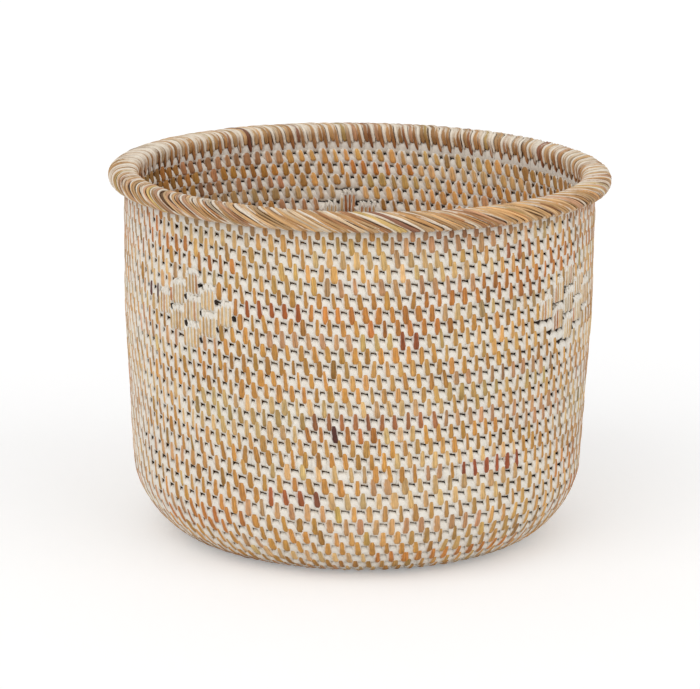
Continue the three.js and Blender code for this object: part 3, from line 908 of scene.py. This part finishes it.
border_splint = splint_finish("border splint", tuple(linear(236, 226, 210)), 1.5, 0.00025, 0.45)
draw = np.random.default_rng(31)
STRANDS = last_row.sum()
pitch = 2 * math.pi * RIM_RADIUS / stitch_counts[last_row]
offsets = (stitch_azimuths[last_row] - FRONT) * RIM_RADIUS + draw.normal(0, 0.2, STRANDS)
binding = strands(
    offsets - 0.32 * pitch, inner_widths=(2.0, 2.6, 2.5), outer_width=1.3, rise=1.0,
    lift=lambda length, outer: 0.05 + 0 * outer,
    first=draw.normal(0.01, 0.008, STRANDS), last=np.full(STRANDS, 0.97),
    colours=border_colours(STRANDS, draw), deep=(0.72, 0.48, 0.32), paint=edge_paint, draw=draw,
)
hoop_foot = (HOOP_FOOT + draw.normal(0, 0.25, STRANDS)) / GIRTH
upright = strands(
    offsets + 0.02 * pitch, inner_widths=(3.0, 3.0, 3.2), outer_width=1.25, rise=0.95,
    lift=lambda length, outer: -0.05 - 0.1 * outer,
    first=hoop_foot, last=np.full(STRANDS, 0.97),
    colours=border_colours(STRANDS, draw), deep=(0.95, 0.85, 0.75), paint=edge_paint, draw=draw,
)

# A white splint dips under its neighbours outside, apart from one stretch where it comes up between them
peak = draw.uniform(0.45, 0.9, (STRANDS, 1))
white = strands(
    offsets + 0.37 * pitch, inner_widths=(1.9, 1.9, 1.9), outer_width=0.95, rise=0.75,
    lift=lambda length, outer: 0.15 - outer * (0.55 - 0.6 * np.exp(-(((length - peak) / 0.12) ** 2))),
    first=hoop_foot - 1.0 / GIRTH, last=np.full(STRANDS, 0.95),
    colours=border_colours(STRANDS, draw), deep=(1.0, 1.0, 1.0), paint=kept_paint, draw=draw,
)
border = gathered([binding, upright, white], "border_splints", border_splint)
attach(border, "root")
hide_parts(*[f"rim_splint_{number}" for number in range(1, 7)])


# Studio. The basket stands on a plain pale floor in soft even light from the sky and both sides, seen from
# slightly above as in the photograph.
scene = bpy.context.scene
scene.view_settings.view_transform = "Standard"

camera = bpy.data.objects.new("camera", bpy.data.cameras.new("camera"))
scene.collection.objects.link(camera)
camera.data.lens = 172.07
camera.data.sensor_width = 36
camera.data.shift_x = -0.0114
camera.data.clip_start = 0.1
camera.data.clip_end = 50
camera.matrix_world = (
    Matrix.Translation((0, -2.006, 0.610))
    @ Matrix.Rotation(math.radians(90 - 13.90), 4, "X")
    @ Matrix.Rotation(math.radians(0.70), 4, "Z")
)
scene.camera = camera

bpy.ops.object.select_all(action="DESELECT")
bpy.ops.mesh.primitive_circle_add(vertices=96, radius=14, fill_type="NGON", location=(0, 0, -0.0004))
floor = bpy.context.object
floor.name = "floor"
floor_finish = bpy.data.materials.new("pale floor")
floor_finish.use_nodes = True
floor_surface = floor_finish.node_tree.nodes["Principled BSDF"]
shade = Shade(floor_finish.node_tree)
seen = shade.node("ShaderNodeLightPath", {}, {}, "Is Camera Ray")
glow = shade.brightened((1, 1, 1), seen)
floor_finish.node_tree.links.new(glow.socket, floor_surface.inputs["Emission Color"])
floor_surface.inputs["Emission Strength"].default_value = 0.27
floor_surface.inputs["Base Color"].default_value = (0.84, 0.84, 0.84, 1)
floor_surface.inputs["Roughness"].default_value = 1
floor_surface.inputs["Specular IOR Level"].default_value = 0
floor.data.materials.append(floor_finish)

world = bpy.data.worlds.new("studio")
scene.world = world
world.use_nodes = True
backdrop = world.node_tree.nodes["Background"]
shade = Shade(world.node_tree)
seen = shade.node("ShaderNodeLightPath", {}, {}, "Is Camera Ray")
world.node_tree.links.new((seen * 0.34 + 0.66).socket, backdrop.inputs["Strength"])
backdrop.inputs["Color"].default_value = (1, 1, 1, 1)


def soft_light(name, direction, strength, spread):
    """A broad light from one direction, with soft shadows."""
    lamp = bpy.data.lights.new(name, "SUN")
    lamp.energy = strength
    lamp.angle = math.radians(spread)
    light = bpy.data.objects.new(name, lamp)
    scene.collection.objects.link(light)
    light.rotation_euler = Vector(direction).to_track_quat("Z", "Y").to_euler()


soft_light("left light", (-0.8, -1.2, 1.1), 0.85, 60)
soft_light("right light", (1.2, -0.9, 0.8), 0.55, 60)
